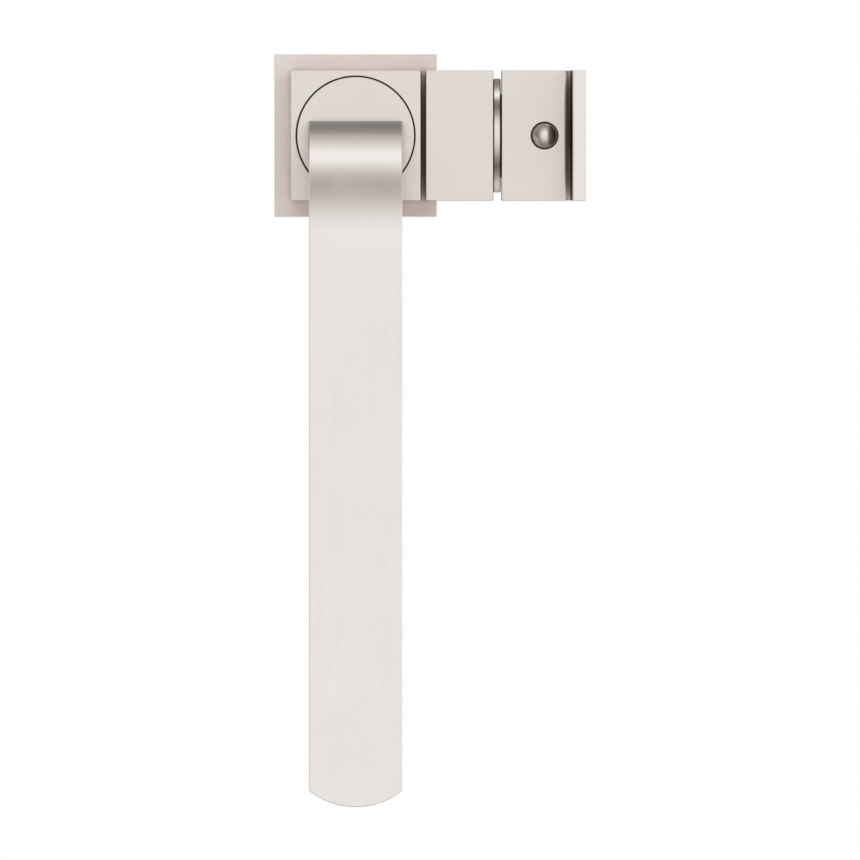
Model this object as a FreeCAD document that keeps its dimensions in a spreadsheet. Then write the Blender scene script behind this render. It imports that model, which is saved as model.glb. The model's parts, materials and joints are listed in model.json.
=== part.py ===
import FreeCAD, Part
import Sketcher
import math
import os
import re

# Lockable tilt and turn window handle, in millimetres.
# The origin is the point where the spindle axis meets the window face.
# +Z is up, +X is right for a person in the room, and the window lies at +Y,
# so "front" below always means a distance from the window face towards the room (-Y).

SIZES = {
    # square rose that is screwed to the window
    "rose_side": 35.0,
    "rose_thickness": 6.0,
    "rose_bevel": 0.12,
    "gasket_side": 30.4,
    "gasket_gap": 0.05,
    "gasket_thickness": 0.8,
    "spigot_diameter": 18.6,
    "spigot_bore": 16.2,
    "spigot_length": 5.2,
    "spigot_gap": 0.02,
    "spindle_passage": 10.5,
    "fixing_pitch": 19.0,
    "fixing_diameter": 4.0,
    "fixing_neck": 3.5,
    "fixing_hole": 4.3,
    "fixing_head": 7.5,
    "fixing_reach": 24.0,
    "fixing_key_radius": 1.44,
    "fixing_key_depth": 1.5,
    # the 28 mm square bar that the housing, lock body and knob are cut from
    "block_side": 28.0,
    "block_bevel": 0.1,
    "housing_rear_depth": 5.5,
    "partition": 1.9,
    "housing_screw_front": 8.7,
    "housing_screw_diameter": 4.0,
    "housing_screw_point": 2.5,
    "housing_screw_point_length": 1.0,
    "housing_screw_sink": 0.9,
    "housing_screw_socket": 2.3,
    "housing_screw_socket_depth": 2.0,
    "spigot_dent_diameter": 2.6,
    "spigot_dent_depth": 2.0,
    "bottom_hole_depth": 6.0,
    # lever axis
    "disc_diameter": 25.2,
    "disc_thickness": 3.0,
    "disc_bevel": 0.08,
    "disc_gap": 0.3,
    "disc_back_gap": 0.1,
    "hub_diameter": 16.0,
    "hub_flange_diameter": 22.0,
    "hub_flange_thickness": 2.4,
    "hub_flange_gap": 0.3,
    "tail_diameter": 12.0,
    "tail_front": 8.9,
    "bush_wall": 1.0,
    "bush_flange": 0.95,
    "front_bush_length": 3.6,
    "front_bush_step": 0.25,
    "rear_bush_step": 0.5,
    "running_gap": 0.03,
    "end_gap": 0.05,
    "nut_thickness": 2.0,
    "nut_diameter": 15.6,
    "nut_slot_width": 1.6,
    "nut_slot_depth": 0.8,
    "slot_overrun": 1.0,
    "washer_thickness": 0.5,
    "washer_gap": 0.15,
    "spindle_side": 7.0,
    "spindle_bevel": 0.6,
    "spindle_reach": 30.0,
    "spindle_front": 21.2,
    "socket_side": 7.1,
    "socket_depth_front": 21.6,
    "screw_seat_front": 24.6,
    "lever_screw_front": 38.0,
    "lever_screw_hole_front": 38.5,
    "lever_screw_diameter": 4.0,
    "lever_screw_head": 7.0,
    "lever_screw_socket": 2.9,
    "lever_screw_socket_depth": 1.6,
    "hub_pin_diameter": 2.5,
    "hub_pin_length": 4.0,
    "hub_pin_offset": 9.0,
    "spindle_pin_diameter": 2.0,
    "spindle_pin_front": 12.2,
    "spindle_pin_length": 11.6,
    # flat bar lever
    "strap_width": 20.0,
    "strap_thickness": 6.0,
    "strap_reach": 143.8,
    "strap_front": 62.8,
    "bend_radius": 26.8,
    "strap_tip_radius": 16.0,
    "strap_bevel": 0.15,
    # detent
    "detent_front": 15.8,
    "detent_body_diameter": 4.0,
    "detent_body_start": 8.6,
    "detent_body_end": 13.6,
    "detent_bore": 2.8,
    "detent_floor": 0.8,
    "detent_ball_diameter": 2.5,
    "detent_ball_centre": 8.7,
    "detent_spring_radius": 1.05,
    "detent_spring_wire": 0.3,
    "detent_spring_pitch": 0.7,
    "detent_spring_gap": 0.15,
    "dimple_diameter": 2.6,
    # lock arm, measured to the right of the lever axis
    "shadow_gap": 1.1,
    "spacer_height": 27.5,
    "spacer_depth": 24.8,
    "arm_pin_diameter": 2.0,
    "arm_pin_offset": 9.5,
    "arm_pin_length": 6.0,
    "arm_pin_hole_depth": 2.5,
    "passage_gap": 0.1,
    "nipple_diameter": 14.0,
    "nipple_start": 10.0,
    "nipple_bore_start": 12.0,
    "nipple_flange_diameter": 19.0,
    "nipple_flange_thickness": 2.0,
    "lock_body_length": 14.5,
    "lock_body_floor": 3.0,
    "lock_body_bore": 20.0,
    "ring_diameter": 24.5,
    "ring_width": 1.6,
    "ring_bevel": 0.2,
    "ring_sleeve": 5.6,
    "ring_running_gap": 0.05,
    "knob_gap": 0.18,
    "knob_length": 15.17,
    "knob_socket_depth": 5.3,
    "fin_thickness": 2.85,
    "fin_height": 16.0,
    "fin_fillet": 1.85,
    "knob_washer_diameter": 18.0,
    "knob_washer_recess": 0.5,
    "knob_washer_play": 0.02,
    "shaft_diameter": 12.0,
    "shaft_collar_diameter": 15.0,
    "shaft_collar_start": 22.2,
    "shaft_collar_width": 1.5,
    "shaft_nose_diameter": 5.0,
    "shaft_nose_start": 17.2,
    "shaft_length_in_knob": 5.2,
    "o_ring_position": 27.0,
    "o_ring_wire": 0.84,
    "o_ring_play": 0.02,
    "knob_screw_position": 34.2,
    "knob_screw_diameter": 3.0,
    "knob_screw_length": 4.2,
    "knob_screw_socket": 1.7,
    "knob_screw_socket_depth": 1.5,
    "knob_bore_overlap": 0.5,
    # locking bolt
    "bolt_diameter": 5.0,
    "bolt_nose_bevel": 0.4,
    "bolt_clearance": 0.05,
    "bolt_start": 8.3,
    "bolt_shoulder": 14.6,
    "bolt_end": 21.2,
    "bolt_tail_diameter": 8.0,
    "bolt_thread_start": 16.5,
    "bolt_thread_diameter": 5.2,
    "bolt_notch_diameter": 5.6,
    "bolt_notch_floor": 5.5,
    "key_pin_diameter": 1.5,
    "key_pin_position": 15.55,
    "key_pin_length": 10.4,
    "key_slot_width": 1.7,
    "key_slot_half_span": 5.4,
    "key_slot_start": 12.2,
    # release button
    "button_position": 9.22,
    "button_hole": 6.0,
    "button_lip": 4.0,
    "button_bore": 7.1,
    "button_diameter": 5.64,
    "button_shoulder_drop": 0.4,
    "button_play": 0.1,
    "button_dome_radius": 4.0,
    "button_guide_diameter": 7.0,
    "button_guide_thickness": 2.0,
    "button_stem_diameter": 3.0,
    "button_stem_front": 14.0,
    "button_spring_radius": 2.6,
    "button_spring_wire": 0.5,
    "button_spring_pitch": 1.9,
    "button_spring_play": 0.02,
    "plug_diameter": 8.0,
    "plug_length": 10.0,
    "plug_inset": 0.2,
    "plug_bore": 3.4,
    "plug_bore_depth": 6.0,
    "plug_slot": 1.2,
}

# Distances from the window face towards the room.
FACE = "(rose_thickness + block_side)"
ARM_AXIS = "(rose_thickness + block_side / 2)"
DISC_BACK = f"({FACE} - disc_thickness)"
FLANGE_BACK = f"({DISC_BACK} - hub_flange_thickness)"
BUSH_SEAT = f"({FLANGE_BACK} - bush_flange - end_gap)"
PARTITION_BACK = "(rose_thickness + housing_rear_depth)"
PARTITION_FRONT = f"({PARTITION_BACK} + partition)"
HUB_SHOULDER = f"({PARTITION_FRONT} + bush_flange + end_gap)"
BUTTON_GUIDE_FRONT = f"({FACE} - button_lip - button_play)"

# Distances to the right of the lever axis.
HALF_BLOCK = "(block_side / 2)"
LOCK_BODY_START = f"({HALF_BLOCK} + shadow_gap)"
LOCK_BODY_FLOOR = f"({LOCK_BODY_START} + lock_body_floor)"
LOCK_BODY_END = f"({LOCK_BODY_START} + lock_body_length)"
RING_END = f"({LOCK_BODY_END} + ring_width)"
KNOB_START = f"({RING_END} + knob_gap)"
FIN_START = f"({KNOB_START} + knob_length)"
BUTTON_AXIS = f"({KNOB_START} + button_position)"

# How a piece's own axes lie in the handle.
FRONTWARD = FreeCAD.Rotation(FreeCAD.Vector(1, 0, 0), 90)     # right, up, front
HANGING = FreeCAD.Rotation(FreeCAD.Vector(0, 1, -1), 180)     # left, down, front
ALONG_ARM = FreeCAD.Rotation(FreeCAD.Vector(1, 0, 1), 180)    # up, front, right
DOWNWARD = FreeCAD.Rotation(FreeCAD.Vector(1, 0, 0), 180)     # right, front, down
REARWARD = FreeCAD.Rotation(FreeCAD.Vector(1, 0, 0), -90)     # right, down, rear

# Edges closer than this to a plane lie in it.
TOUCHING = 0.01

doc = FreeCAD.newDocument("tilt_turn_handle")


# ---------------------------------------------------------------- helpers

def make_sheet():
    sheet = doc.addObject("Spreadsheet::Sheet", "Sizes")
    for row, (alias, size) in enumerate(SIZES.items(), start=1):
        sheet.set(f"A{row}", alias)
        sheet.set(f"B{row}", str(size))
        sheet.setAlias(f"B{row}", alias)
    doc.recompute()


def with_sheet(text):
    """Puts the sheet's name before every size that an expression uses."""
    return re.sub(r"[a-z_]+", lambda word: f"Sizes.{word[0]}" if word[0] in SIZES else word[0], text)


def bind(thing, name, text):
    thing.setExpression(name, with_sheet(text))


def place(thing, rotation, right="0", front="0", up="0"):
    thing.Placement = FreeCAD.Placement(FreeCAD.Vector(), rotation)
    bind(thing, "Placement.Base.x", right)
    bind(thing, "Placement.Base.y", f"-({front})")
    bind(thing, "Placement.Base.z", up)


def new_body(label, rotation, **position):
    body = doc.addObject("PartDesign::Body", label)
    body.Label = label
    place(body, rotation, **position)
    return body


def new_sketch(body, role, offset="0"):
    plane = next(item for item in body.Origin.OriginFeatures if item.Role == role)
    sketch = body.newObject("Sketcher::SketchObject", f"{body.Label}_sketch")
    sketch.AttachmentSupport = [(plane, "")]
    sketch.MapMode = "FlatFace"
    bind(sketch, "AttachmentOffset.Base.z", offset)
    return sketch


def pin_point(sketch, edge, end, across, along):
    """Holds a point at two signed distances from the sketch's origin."""
    for kind, axis, text in (("DistanceX", -2, across), ("DistanceY", -1, along)):
        if text == "0":
            sketch.addConstraint(Sketcher.Constraint("PointOnObject", edge, end, axis))
            continue
        if text.startswith("-"):
            ends = (edge, end, -1, 1)
            text = text[1:]
        else:
            ends = (-1, 1, edge, end)
        index = sketch.addConstraint(Sketcher.Constraint(kind, *ends, 5.0))
        bind(sketch, f"Constraints[{index}]", text)


def side(text):
    return -1 if text.startswith("-") else 1


def draw_outline(sketch, corners):
    """A closed outline of straight lines. Each corner is two expressions."""
    rough = [
        FreeCAD.Vector(side(across) * (1 + number), side(along) * (1 + number * number), 0)
        for number, (across, along) in enumerate(corners)
    ]
    first = sketch.GeometryCount
    count = len(corners)
    for number in range(count):
        line = Part.LineSegment(rough[number], rough[(number + 1) % count])
        sketch.addGeometry(line, False)
    for number in range(count):
        following = first + (number + 1) % count
        sketch.addConstraint(Sketcher.Constraint("Coincident", first + number, 2, following, 1))
    for number, (across, along) in enumerate(corners):
        pin_point(sketch, first + number, 1, across, along)


def draw_rectangle(sketch, width, height):
    """A rectangle centred on the sketch's origin."""
    across = f"({width}) / 2"
    along = f"({height}) / 2"
    draw_outline(sketch, [(f"-{across}", f"-{along}"), (across, f"-{along}"), (across, along),
                          (f"-{across}", along)])


def draw_circle(sketch, diameter, across="0", along="0"):
    centre = FreeCAD.Vector(5 * side(across) * (across != "0"), 5 * side(along) * (along != "0"), 0)
    edge = sketch.addGeometry(Part.Circle(centre, FreeCAD.Vector(0, 0, 1), 1.0), False)
    index = sketch.addConstraint(Sketcher.Constraint("Diameter", edge, 2.0))
    bind(sketch, f"Constraints[{index}]", diameter)
    pin_point(sketch, edge, 3, across, along)


def pad(body, sketch, length, both_ways=False):
    feature = body.newObject("PartDesign::Pad", f"{body.Label}_pad")
    feature.Profile = sketch
    feature.Midplane = both_ways
    bind(feature, "Length", length)
    doc.recompute()
    return feature


def check_cut(body, volume, feature):
    doc.recompute()
    if not body.Shape.Volume < volume - 1e-6:
        raise RuntimeError(f"{feature.Name} in {body.Label} removes nothing")
    return feature


def pocket(body, sketch, depth, away=False, both_ways=False):
    volume = body.Shape.Volume
    feature = body.newObject("PartDesign::Pocket", f"{body.Label}_pocket")
    feature.Profile = sketch
    feature.Reversed = away
    feature.Midplane = both_ways
    bind(feature, "Length", depth)
    return check_cut(body, volume, feature)


def revolve(body, corners):
    """Turns an outline of (radius, distance along the axis) corners about the piece's z axis."""
    sketch = new_sketch(body, "XZ_Plane")
    draw_outline(sketch, corners)
    feature = body.newObject("PartDesign::Revolution", f"{body.Label}_revolution")
    feature.Profile = sketch
    feature.ReferenceAxis = (sketch, ["V_Axis"])
    feature.Angle = 360.0
    doc.recompute()
    return feature


def bore_out(body, corners):
    """Cuts a stepped bore, given like the outline of a turned piece."""
    volume = body.Shape.Volume
    sketch = new_sketch(body, "XZ_Plane")
    draw_outline(sketch, corners)
    feature = body.newObject("PartDesign::Groove", f"{body.Label}_groove")
    feature.Profile = sketch
    feature.ReferenceAxis = (sketch, ["V_Axis"])
    feature.Angle = 360.0
    return check_cut(body, volume, feature)


def bevel(body, size, edges=None):
    """Chamfers the named edges of the body's tip, or all of them."""
    feature = body.newObject("PartDesign::Chamfer", f"{body.Label}_chamfer")
    tip = feature.BaseFeature or body.Tip
    feature.Base = (tip, edges or ["Edge1"])
    feature.UseAllEdges = edges is None
    bind(feature, "Size", size)
    doc.recompute()
    return feature


def round_edges(body, radius, edges):
    feature = body.newObject("PartDesign::Fillet", f"{body.Label}_fillet")
    feature.Base = (feature.BaseFeature or body.Tip, edges)
    bind(feature, "Radius", radius)
    doc.recompute()
    return feature


def edges_where(shape, test):
    return [f"Edge{number}" for number, edge in enumerate(shape.Edges, start=1) if test(edge)]


def turned(label, rotation, corners, **position):
    body = new_body(label, rotation, **position)
    revolve(body, corners)
    return body


def rod(name, rotation, radius, length, **position):
    cylinder = doc.addObject("Part::Cylinder", name)
    bind(cylinder, "Radius", radius)
    bind(cylinder, "Height", length)
    place(cylinder, rotation, **position)
    return cylinder


def hexagon(name, rotation, radius, length, **position):
    prism = doc.addObject("Part::Prism", name)
    prism.Polygon = 6
    bind(prism, "Circumradius", radius)
    bind(prism, "Height", length)
    place(prism, rotation, **position)
    return prism


def combine(kind, label, base, tool):
    result = doc.addObject(f"Part::{kind}", label)
    result.Label = label
    result.Base = base
    result.Tool = tool
    doc.recompute()
    return result


def group(label, pieces):
    compound = doc.addObject("Part::Compound", label)
    compound.Label = label
    compound.Links = pieces
    doc.recompute()
    return compound


def coil(label, rotation, radius, wire, pitch, length, **position):
    """A compression spring whose length runs between its wire's outer sides."""
    spine = doc.addObject("Part::Helix", f"{label}_spine")
    bind(spine, "Radius", radius)
    bind(spine, "Pitch", pitch)
    bind(spine, "Height", f"({length}) - ({wire})")
    spine.SegmentLength = 1
    section = doc.addObject("Part::Circle", f"{label}_section")
    bind(section, "Radius", f"({wire}) / 2")
    section.Placement.Rotation = FreeCAD.Rotation(FreeCAD.Vector(1, 0, 0), 90)
    bind(section, "Placement.Base.x", radius)
    doc.recompute()
    sweep = doc.addObject("Part::Sweep", label)
    sweep.Label = label
    sweep.Sections = [section]
    sweep.Spine = (spine, [f"Edge{number + 1}" for number in range(len(spine.Shape.Edges))])
    sweep.Solid = True
    sweep.Frenet = True
    place(sweep, rotation, **position)
    doc.recompute()
    return sweep


# ---------------------------------------------------------------- rose

def fixing_points():
    half = "fixing_pitch / 2"
    return [(half, half), (f"-{half}", half), (f"-{half}", f"-{half}"), (half, f"-{half}")]


def make_rose_plate():
    body = new_body("rose_plate", FRONTWARD)
    plate = new_sketch(body, "XY_Plane")
    draw_rectangle(plate, "rose_side", "rose_side")
    pad(body, plate, "rose_thickness")
    bevel(body, "rose_bevel")
    spigot = new_sketch(body, "XY_Plane", "rose_thickness")
    draw_circle(spigot, "spigot_diameter")
    draw_circle(spigot, "spigot_bore")
    pad(body, spigot, "spigot_length")
    passage = new_sketch(body, "XY_Plane")
    draw_circle(passage, "spindle_passage")
    pocket(body, passage, "rose_thickness", away=True)
    recess = new_sketch(body, "XY_Plane")
    draw_rectangle(recess, "gasket_side", "gasket_side")
    pocket(body, recess, "gasket_thickness", away=True)
    notch = new_sketch(body, "XZ_Plane", "spigot_diameter / 2")
    draw_circle(notch, "spigot_dent_diameter", "0", "housing_screw_front")
    pocket(body, notch, "spigot_dent_depth")
    holes = new_sketch(body, "XY_Plane", "rose_thickness")
    for across, along in fixing_points():
        draw_circle(holes, "fixing_hole", across, along)
    doc.recompute()
    volume = body.Shape.Volume
    countersunk = body.newObject("PartDesign::Hole", "rose_plate_holes")
    countersunk.Profile = holes
    countersunk.DepthType = "ThroughAll"
    countersunk.ThreadType = "None"
    bind(countersunk, "Diameter", "fixing_hole")
    countersunk.HoleCutType = "Countersink"
    countersunk.HoleCutCustomValues = True
    bind(countersunk, "HoleCutDiameter", "fixing_head")
    countersunk.HoleCutCountersinkAngle = 90.0
    check_cut(body, volume, countersunk)
    return body


def make_rose_gasket():
    body = new_body("rose_gasket", FRONTWARD)
    sheet = new_sketch(body, "XY_Plane")
    draw_rectangle(sheet, "gasket_side - 2 * gasket_gap", "gasket_side - 2 * gasket_gap")
    draw_circle(sheet, "spindle_passage")
    for across, along in fixing_points():
        draw_circle(sheet, "fixing_hole", across, along)
    pad(body, sheet, "gasket_thickness")
    return body


def make_fixing_screw(number, right, up):
    """A countersunk screw: head flush in the rose, plain rolled neck, full thread in the window."""
    name = f"fixing_screw_{number}"
    head_diameter = "(fixing_head - 4 * end_gap)"
    head_length = f"({head_diameter} - fixing_neck) / 2"
    head_top = "(rose_thickness - end_gap)"
    head = doc.addObject("Part::Cone", f"{name}_head")
    bind(head, "Radius1", "fixing_neck / 2")
    bind(head, "Radius2", f"{head_diameter} / 2")
    bind(head, "Height", head_length)
    place(head, FRONTWARD, right=right, up=up, front=f"{head_top} - {head_length}")
    neck = rod(f"{name}_neck", FRONTWARD, "fixing_neck / 2",
               f"{head_top} - {head_length}", right=right, up=up)
    thread = rod(f"{name}_thread", FRONTWARD, "fixing_diameter / 2", "fixing_reach",
                 right=right, up=up, front="-fixing_reach")
    shank = combine("Fuse", f"{name}_shank", neck, thread)
    blank = combine("Fuse", f"{name}_blank", head, shank)
    key = hexagon(f"{name}_key", FRONTWARD, "fixing_key_radius", "fixing_key_depth + end_gap",
                  right=right, up=up, front=f"{head_top} - fixing_key_depth")
    return combine("Cut", name, blank, key)


def make_fixing_screws():
    screws = []
    for number, (right, up) in enumerate(fixing_points(), start=1):
        screws.append(make_fixing_screw(number, right, up))
    return group("fixing_screws", screws)


# ---------------------------------------------------------------- housing

def make_housing():
    body = new_body("housing", FRONTWARD)
    block = new_sketch(body, "XY_Plane", "rose_thickness")
    draw_rectangle(block, "block_side", "block_side")
    pad(body, block, "block_side")
    bevel(body, "block_bevel")
    rear_radius = "spigot_diameter / 2 + spigot_gap"
    rear_bush_radius = "tail_diameter / 2 + bush_wall"
    bore_radius = "hub_diameter / 2 + bush_wall"
    flange_radius = "hub_flange_diameter / 2 + hub_flange_gap"
    disc_radius = "disc_diameter / 2 + disc_gap"
    disc_floor = f"{DISC_BACK} - disc_back_gap"
    bore_out(body, [
        ("0", "rose_thickness"), (rear_radius, "rose_thickness"),
        (rear_radius, PARTITION_BACK), (rear_bush_radius, PARTITION_BACK),
        (rear_bush_radius, PARTITION_FRONT), (bore_radius, PARTITION_FRONT),
        (bore_radius, BUSH_SEAT), (flange_radius, BUSH_SEAT),
        (flange_radius, disc_floor), (disc_radius, disc_floor),
        (disc_radius, FACE), ("0", FACE),
    ])
    nipple_hole = new_sketch(body, "YZ_Plane", HALF_BLOCK)
    draw_circle(nipple_hole, "nipple_diameter", "0", ARM_AXIS)
    pocket(body, nipple_hole, f"{HALF_BLOCK} - nipple_start")
    bolt_hole = new_sketch(body, "YZ_Plane", HALF_BLOCK)
    draw_circle(bolt_hole, "bolt_diameter + 2 * bolt_clearance", "0", ARM_AXIS)
    pocket(body, bolt_hole, f"{HALF_BLOCK} / 2")
    pin_holes = new_sketch(body, "YZ_Plane", HALF_BLOCK)
    draw_circle(pin_holes, "arm_pin_diameter", "arm_pin_offset", ARM_AXIS)
    draw_circle(pin_holes, "arm_pin_diameter", "-arm_pin_offset", ARM_AXIS)
    pocket(body, pin_holes, "arm_pin_hole_depth")
    bottom_holes = new_sketch(body, "XZ_Plane", HALF_BLOCK)
    draw_circle(bottom_holes, "detent_body_diameter", "0", "detent_front")
    draw_circle(bottom_holes, "housing_screw_diameter", "0", "housing_screw_front")
    pocket(body, bottom_holes, "bottom_hole_depth")
    return body


def make_housing_grub_screw():
    point = "housing_screw_point / 2"
    radius = "housing_screw_diameter / 2"
    start = "spigot_diameter / 2 - housing_screw_sink"
    neck = f"{start} + housing_screw_point_length"
    screw = turned("housing_grub_screw", DOWNWARD, [
        ("0", start), (point, start), (point, neck), (radius, neck),
        (radius, "detent_body_end"), ("0", "detent_body_end"),
    ], front="housing_screw_front")
    return drive_hole(screw, "detent_body_end", "housing_screw_socket", "housing_screw_socket_depth")


def drive_hole(screw, end, width, depth):
    """Sinks a round-cornered drive socket in the far end of a turned screw."""
    socket = new_sketch(screw, "XY_Plane", end)
    draw_circle(socket, width)
    pocket(screw, socket, depth)
    return screw


def make_front_bush():
    inner = "hub_diameter / 2 + running_gap"
    outer = "hub_diameter / 2 + bush_wall"
    flange = "hub_flange_diameter / 2 - front_bush_step"
    sleeve_back = f"{BUSH_SEAT} - front_bush_length"
    return turned("front_bush", FRONTWARD, [
        (inner, sleeve_back), (outer, sleeve_back), (outer, BUSH_SEAT), (flange, BUSH_SEAT),
        (flange, f"{BUSH_SEAT} + bush_flange"), (inner, f"{BUSH_SEAT} + bush_flange"),
    ])


def make_rear_bush():
    inner = "tail_diameter / 2 + running_gap"
    outer = "tail_diameter / 2 + bush_wall"
    flange = "hub_diameter / 2 + rear_bush_step"
    return turned("rear_bush", FRONTWARD, [
        (inner, PARTITION_BACK), (outer, PARTITION_BACK), (outer, PARTITION_FRONT),
        (flange, PARTITION_FRONT), (flange, f"{PARTITION_FRONT} + bush_flange"),
        (inner, f"{PARTITION_FRONT} + bush_flange"),
    ])


def make_detent_body():
    outer = "detent_body_diameter / 2"
    bore = "detent_bore / 2"
    floor = "detent_body_end - detent_floor"
    return turned("detent_body", DOWNWARD, [
        (bore, "detent_body_start"), (outer, "detent_body_start"), (outer, "detent_body_end"),
        ("0", "detent_body_end"), ("0", floor), (bore, floor),
    ], front="detent_front")


def make_detent_ball():
    ball = doc.addObject("Part::Sphere", "detent_ball")
    ball.Label = "detent_ball"
    bind(ball, "Radius", "detent_ball_diameter / 2")
    place(ball, DOWNWARD, front="detent_front", up="-detent_ball_centre")
    return ball


def make_detent_spring():
    start = "(detent_ball_centre + detent_ball_diameter / 2 + detent_spring_gap)"
    return coil("detent_spring", DOWNWARD, "detent_spring_radius", "detent_spring_wire",
                "detent_spring_pitch", f"detent_body_end - detent_floor - {start}",
                front="detent_front", up=f"-{start} - detent_spring_wire / 2")


# ---------------------------------------------------------------- lever

def make_lever_disc():
    body = new_body("lever_disc", FRONTWARD)
    disc = new_sketch(body, "XY_Plane", DISC_BACK)
    draw_circle(disc, "disc_diameter")
    pad(body, disc, "disc_thickness")
    front = SIZES["rose_thickness"] + SIZES["block_side"]
    rim = edges_where(body.Tip.Shape, lambda edge: abs(edge.BoundBox.ZMin - front) < TOUCHING)
    bevel(body, "disc_bevel", rim)
    slot = new_sketch(body, "XY_Plane", DISC_BACK)
    draw_rectangle(slot, "strap_width", "strap_thickness")
    pocket(body, slot, "disc_thickness", away=True)
    add_hub_pin_holes(body)
    return body


def add_hub_pin_holes(body, away=True):
    holes = new_sketch(body, "XY_Plane", DISC_BACK)
    draw_circle(holes, "hub_pin_diameter", "0", "hub_pin_offset")
    draw_circle(holes, "hub_pin_diameter", "0", "-hub_pin_offset")
    pocket(body, holes, "hub_pin_length / 2", away=away)


def make_lever_hub():
    shaft = "hub_diameter / 2"
    tail = "tail_diameter / 2"
    flange = "hub_flange_diameter / 2"
    body = turned("lever_hub", FRONTWARD, [
        ("0", "tail_front"), (tail, "tail_front"), (tail, HUB_SHOULDER), (shaft, HUB_SHOULDER),
        (shaft, FLANGE_BACK), (flange, FLANGE_BACK), (flange, DISC_BACK), ("0", DISC_BACK),
    ])
    socket = new_sketch(body, "XY_Plane", "tail_front")
    draw_rectangle(socket, "socket_side", "socket_side")
    pocket(body, socket, "socket_depth_front - tail_front", away=True)
    screw_radius = "lever_screw_diameter / 2 + passage_gap"
    screw_way = [
        ("0", "tail_front"), ("socket_side / 2", "tail_front"),
        ("socket_side / 2", "screw_seat_front"), (screw_radius, "screw_seat_front"),
        (screw_radius, DISC_BACK), ("0", DISC_BACK),
    ]
    bore_out(body, screw_way)
    add_hub_pin_holes(body, away=False)
    pin_hole = new_sketch(body, "YZ_Plane")
    draw_circle(pin_hole, "spindle_pin_diameter", "0", "spindle_pin_front")
    pocket(body, pin_hole, "hub_diameter", both_ways=True)
    notch = new_sketch(body, "YZ_Plane", "bolt_notch_floor")
    draw_circle(notch, "bolt_notch_diameter", "0", ARM_AXIS)
    four_times(body, pocket(body, notch, "hub_diameter / 2", away=True))
    dimple = body.newObject("PartDesign::SubtractiveSphere", "lever_hub_dimple")
    plane = next(item for item in body.Origin.OriginFeatures if item.Role == "XY_Plane")
    dimple.AttachmentSupport = [(plane, "")]
    dimple.MapMode = "FlatFace"
    bind(dimple, "Radius", "dimple_diameter / 2")
    bind(dimple, "AttachmentOffset.Base.x", "detent_ball_centre")
    bind(dimple, "AttachmentOffset.Base.z", "detent_front")
    doc.recompute()
    four_times(body, dimple)
    return body


def four_times(body, feature):
    """Repeats a feature at every quarter turn about the body's z axis."""
    axis = next(item for item in body.Origin.OriginFeatures if item.Role == "Z_Axis")
    pattern = body.newObject("PartDesign::PolarPattern", f"{feature.Name}_pattern")
    pattern.Originals = [feature]
    pattern.Axis = (axis, [""])
    pattern.Angle = 360.0
    pattern.Occurrences = 4
    body.Tip = pattern
    doc.recompute()
    return pattern


def make_lever_strap():
    """A flat bar: out of the disc, a quarter bend, then straight down to a curved tip."""
    body = new_body("lever_strap", HANGING, front=DISC_BACK, up="strap_thickness / 2")
    tip = "strap_reach + strap_thickness / 2"
    outer = f"strap_front - {DISC_BACK}"
    inner = f"strap_front - strap_thickness - {DISC_BACK}"
    sketch = new_sketch(body, "YZ_Plane")
    draw_outline(sketch, [
        ("0", "0"), ("strap_thickness", "0"), ("strap_thickness", inner),
        (tip, inner), (tip, outer), ("0", outer),
    ])
    pad(body, sketch, "strap_width", both_ways=True)
    thickness = SIZES["strap_thickness"]
    outer_z = SIZES["strap_front"] - SIZES["rose_thickness"] - SIZES["block_side"] + SIZES["disc_thickness"]

    def is_bend(edge, down, front):
        box = edge.BoundBox
        return box.XLength > 1 and abs(box.YMin - down) < TOUCHING and abs(box.ZMin - front) < TOUCHING

    round_edges(body, "bend_radius", edges_where(body.Tip.Shape, lambda edge: is_bend(edge, 0, outer_z)))
    round_edges(body, "bend_radius - strap_thickness", edges_where(
        body.Tip.Shape, lambda edge: is_bend(edge, thickness, outer_z - thickness)))
    trim_tip(body, tip)
    root = SIZES["disc_thickness"] + TOUCHING
    bevel(body, "strap_bevel", edges_where(body.Tip.Shape, lambda edge: is_outline_edge(edge, root)))
    hole = new_sketch(body, "XY_Plane")
    draw_circle(hole, "lever_screw_diameter", "0", "strap_thickness / 2")
    pocket(body, hole, f"lever_screw_hole_front - {DISC_BACK}", away=True)
    return body


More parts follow.
